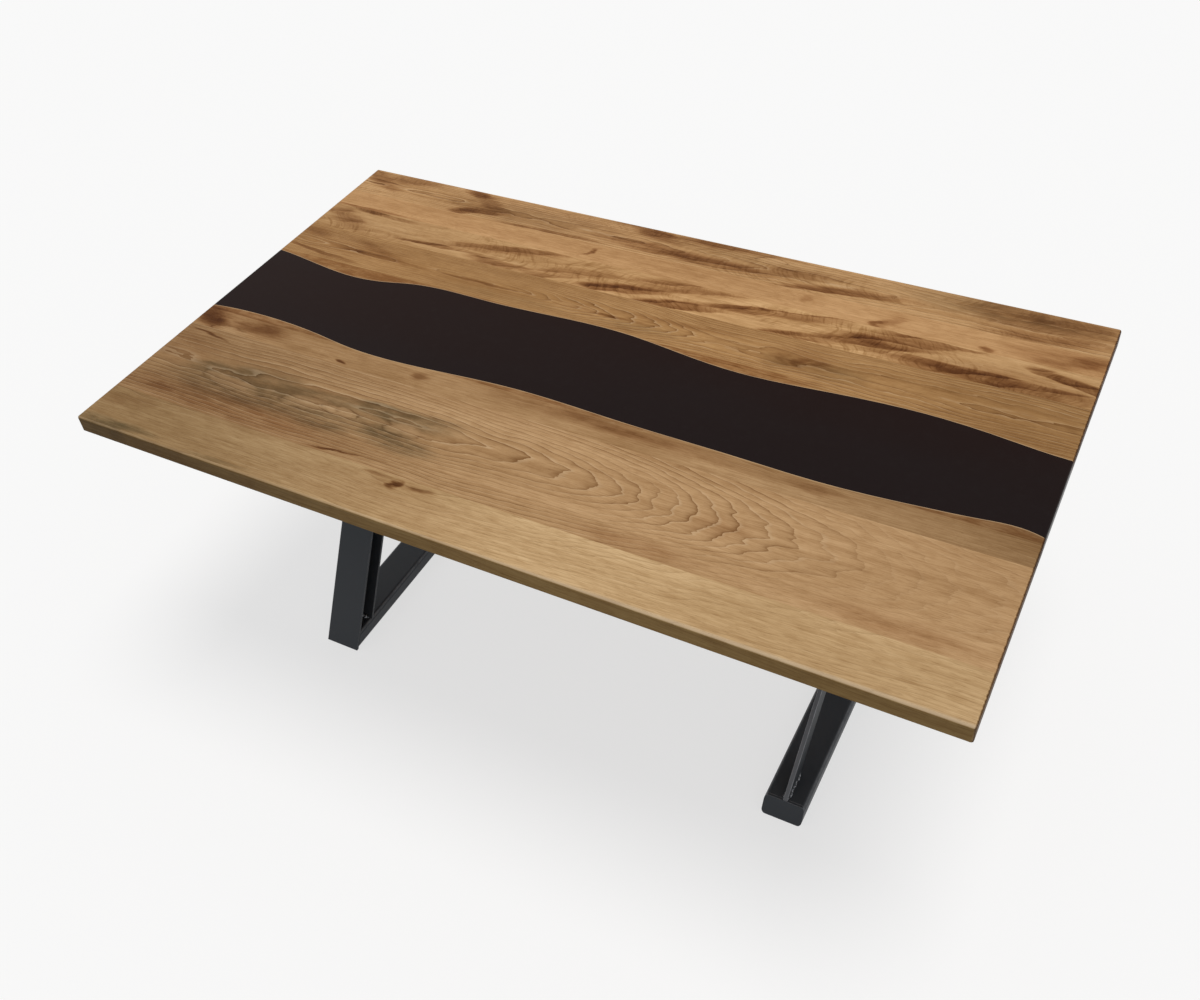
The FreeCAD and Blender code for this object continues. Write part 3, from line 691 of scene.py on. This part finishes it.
# A bead's ripples: their pitch, how much their middles run ahead and their places drift, and how far the
# bead bulges between them and how much more on them, as shares of its leg
ripple_pitch = 0.0032
ripple_lag, ripple_drift = 0.4, 0.3
plain_bulge, ripple_bulge = 0.10, 0.14

# A bead's unevenness: shares of its leg, their waves in radians a metre, and the share left between lumps
slow_wobble, fast_wobble = 0.10, 0.06
slow_wave, fast_wave, drift_wave = 430, 1130, 310
lump_valley = 0.30
bead_seed_step = 1.7

# One weld: the ends of its root line, the ways along the two joined faces, its leg, and how far apart
# its lumps are, or none for an even bead.
Weld = namedtuple("Weld", "start end first second leg lumps", defaults=(weld_leg, None))

up_post = Vector((0, lean, 1)).normalized()
off_post = Vector((0, 1, -lean)).normalized()


def half_width(corners):
    return (corners[1].x - corners[0].x) / 2


def post_rear(height):
    """Rear face of the leaning post at a height, along the foot."""
    return rear_plate[1].y - (post_head - height) * lean


def leg_welds():
    """The welds of one leg, about the leg's own middle."""
    rear, front, up = Vector((0, 1, 0)), Vector((0, -1, 0)), Vector((0, 0, 1))
    half = half_width(beads)
    foot_place = post_rear(foot_top)
    welds = [Weld(Vector((-half, foot_place, foot_top)), Vector((half, foot_place, foot_top)),
                  rear, up_post, weld_leg, post_lumps)]
    front_head = front_plate[0].y + post_head * lean
    for place, along in ((post_rear(post_head), rear), (front_head, front)):
        welds.append(Weld(Vector((-half, place, post_head)), Vector((half, place, post_head)),
                          along, -up_post))

    # The brace lies on the foot from heel to toe, and on the post from low to high.
    recess = rear_plate[0].y
    toe = brace[1].y
    high = brace[1].z
    low = post_head - (rear_plate[1].y - brace[0].y) / lean
    heel = brace[0].y + (toe - post_rear(high)) * (low - foot_top) / (high - foot_top)
    for way in (-1, 1):
        out = Vector((way, 0, 0))
        inner = way * half_width(web)
        welds.append(Weld(Vector((inner, recess, foot_top)), Vector((way * half, recess, foot_top)),
                          front, up_post, weld_leg, recess_lumps))
        face = way * half_width(brace)
        welds.append(Weld(Vector((face, heel, foot_top)), Vector((face, toe - weld_leg, foot_top)),
                          out, up, tack_leg, brace_lumps))
        welds.append(Weld(Vector((face, post_rear(low), low)), Vector((face, post_rear(high), high)),
                          out, off_post))
    return welds


def add_bead(shape, weld, seed):
    """A rippled weld bead in the angle of two faces, with rounded ends."""
    run = weld.end - weld.start
    length = run.length
    ahead = run.normalized()
    outward = (weld.first + weld.second).normalized()
    steps = max(fewest_steps, round(length / bead_step))
    loops = []
    for step in range(steps + 1):
        at = length * step / steps
        to_end = min(at, length - at)
        full = min(1.0, math.sqrt(max(to_end, blunt_end) / weld.leg))
        uneven = 1 + slow_wobble * math.sin(at * slow_wave + seed)
        uneven += fast_wobble * math.sin(at * fast_wave + 2 * seed)
        if weld.lumps:
            lump = abs(math.sin(math.pi * at / weld.lumps + seed))
            uneven *= lump_valley + (1 - lump_valley) * lump
        leg = weld.leg * full * uneven
        root = weld.start + ahead * at
        drift = ripple_drift * math.sin(at * drift_wave + seed)
        loop = [shape.verts.new(root)]
        for point in range(arc_steps + 1):
            share = point / arc_steps
            lag = (2 * share - 1) ** 2 * ripple_lag
            ripple = abs(math.sin(math.pi * (at / ripple_pitch + lag + drift)))
            bulge = leg * math.sin(math.pi * share) * (plain_bulge + ripple_bulge * ripple)
            place = weld.first * leg * (1 - share) + weld.second * leg * share + outward * bulge
            loop.append(shape.verts.new(root + place))
        loops.append(loop)
    size = len(loops[0])
    for near, far in zip(loops, loops[1:]):
        for index in range(size):
            following = (index + 1) % size
            shape.faces.new((near[index], near[following], far[following], far[index]))
    shape.faces.new(loops[0])
    shape.faces.new(loops[-1])


for side, turn in (("left", 1), ("right", -1)):
    shape = bmesh.new()
    for seed, weld in enumerate(leg_welds()):
        add_bead(shape, weld, seed * bead_seed_step + turn)
    bmesh.ops.recalc_face_normals(shape, faces=shape.faces[:])
    for vertex in shape.verts:
        vertex.co = Vector((turn * (vertex.co.x + leg_middle), turn * vertex.co.y, vertex.co.z))
    mesh = bpy.data.meshes.new(f"weld_ripples_{side}")
    shape.to_mesh(mesh)
    shape.free()
    mesh.shade_smooth()
    mesh.materials.append(weld_paint)
    welds = bpy.data.objects.new(f"weld_ripples_{side}", mesh)
    bpy.context.scene.collection.objects.link(welds)
    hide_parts(f"weld_beads_{side}")
    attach(welds, "root")

# Stage

floor_reach = 60
floor_grey, floor_white = (0.60, 0.60, 0.60), (0.90, 0.90, 0.90)
floor_glow = 0.65
sky_colour, sky_strength = (0.95, 0.97, 1.0), 0.42
backdrop_white = (0.943, 0.943, 0.943)
sun_colour, sun_strength = (1.0, 0.98, 0.95), 1.75
sun_width = 30
sun_turn = (-3, 9, 0)

# The photograph's view, found from the corners of the top and the feet
view_place = (1.01378, -1.69147, 2.27074)
view_turn = (46.167, 3.958, 27.626)
view_focal = 36.93
view_sensor = 36


def turn_by(degrees):
    return Euler([math.radians(angle) for angle in degrees])


def seen_directly(tree):
    """1 for rays of the camera, of mirrors and of glass, which see a pale stage, and 0 for all others."""
    rays = tree.nodes.new("ShaderNodeLightPath")
    seen = rays.outputs["Is Camera Ray"]
    for kind in ("Is Glossy Ray", "Is Transmission Ray"):
        either = tree.nodes.new("ShaderNodeMath")
        either.operation = "MAXIMUM"
        tree.links.new(seen, either.inputs[0])
        tree.links.new(rays.outputs[kind], either.inputs[1])
        seen = either.outputs[0]
    return seen


floor_mesh = bpy.data.meshes.new("floor")
floor_mesh.from_pydata(
    [(-floor_reach, -floor_reach, 0), (floor_reach, -floor_reach, 0), (floor_reach, floor_reach, 0),
     (-floor_reach, floor_reach, 0)], [], [(0, 1, 2, 3)])
floor = bpy.data.objects.new("floor", floor_mesh)
bpy.context.scene.collection.objects.link(floor)
floor_shader = Shader("pale_floor")
in_view = seen_directly(floor_shader.tree)
pale = floor_shader.mix("MIX", in_view, floor_grey, floor_white)
floor_mesh.materials.append(floor_shader.finish(
    Base_Color=floor_shader.stain(pale, floor_shader.noise((0.4, 0.4, 0.4)), (0.98, 0.98, 0.98)),
    Roughness=0.9,
    Specular_IOR_Level=0.0,
))
glow = floor_shader.add("ShaderNodeEmission", {"Color": (1, 1, 1, 1), "Strength": 1.0})
paler = floor_shader.math("MULTIPLY", in_view, floor_glow)
blend = floor_shader.add(
    "ShaderNodeMixShader", {0: paler, 1: floor_shader.surface.outputs[0], 2: glow.outputs[0]})
floor_output = floor_shader.tree.nodes["Material Output"]
floor_shader.feed(floor_output.inputs["Surface"], blend.outputs[0])

world = bpy.data.worlds.new("studio")
bpy.context.scene.world = world
world.use_nodes = True
sky = world.node_tree
ambient = sky.nodes["Background"]
ambient.inputs["Color"].default_value = opaque(sky_colour)
ambient.inputs["Strength"].default_value = sky_strength
backdrop = sky.nodes.new("ShaderNodeBackground")
backdrop.inputs["Color"].default_value = opaque(backdrop_white)
choice = sky.nodes.new("ShaderNodeMixShader")
for source, socket in zip((seen_directly(sky), ambient.outputs[0], backdrop.outputs[0]), choice.inputs):
    sky.links.new(source, socket)
sky.links.new(choice.outputs[0], sky.nodes["World Output"].inputs["Surface"])

lamp = bpy.data.lights.new("soft_overhead", "SUN")
lamp.energy = sun_strength
lamp.angle = math.radians(sun_width)
lamp.color = sun_colour
overhead = bpy.data.objects.new("soft_overhead", lamp)
overhead.rotation_euler = turn_by(sun_turn)
bpy.context.scene.collection.objects.link(overhead)

lens = bpy.data.cameras.new("photograph")
lens.sensor_fit = "HORIZONTAL"
lens.sensor_width = view_sensor
lens.lens = view_focal
camera = bpy.data.objects.new("photograph", lens)
camera.location = view_place
camera.rotation_euler = turn_by(view_turn)
bpy.context.scene.collection.objects.link(camera)
bpy.context.scene.camera = camera
bpy.context.scene.view_settings.view_transform = "Standard"
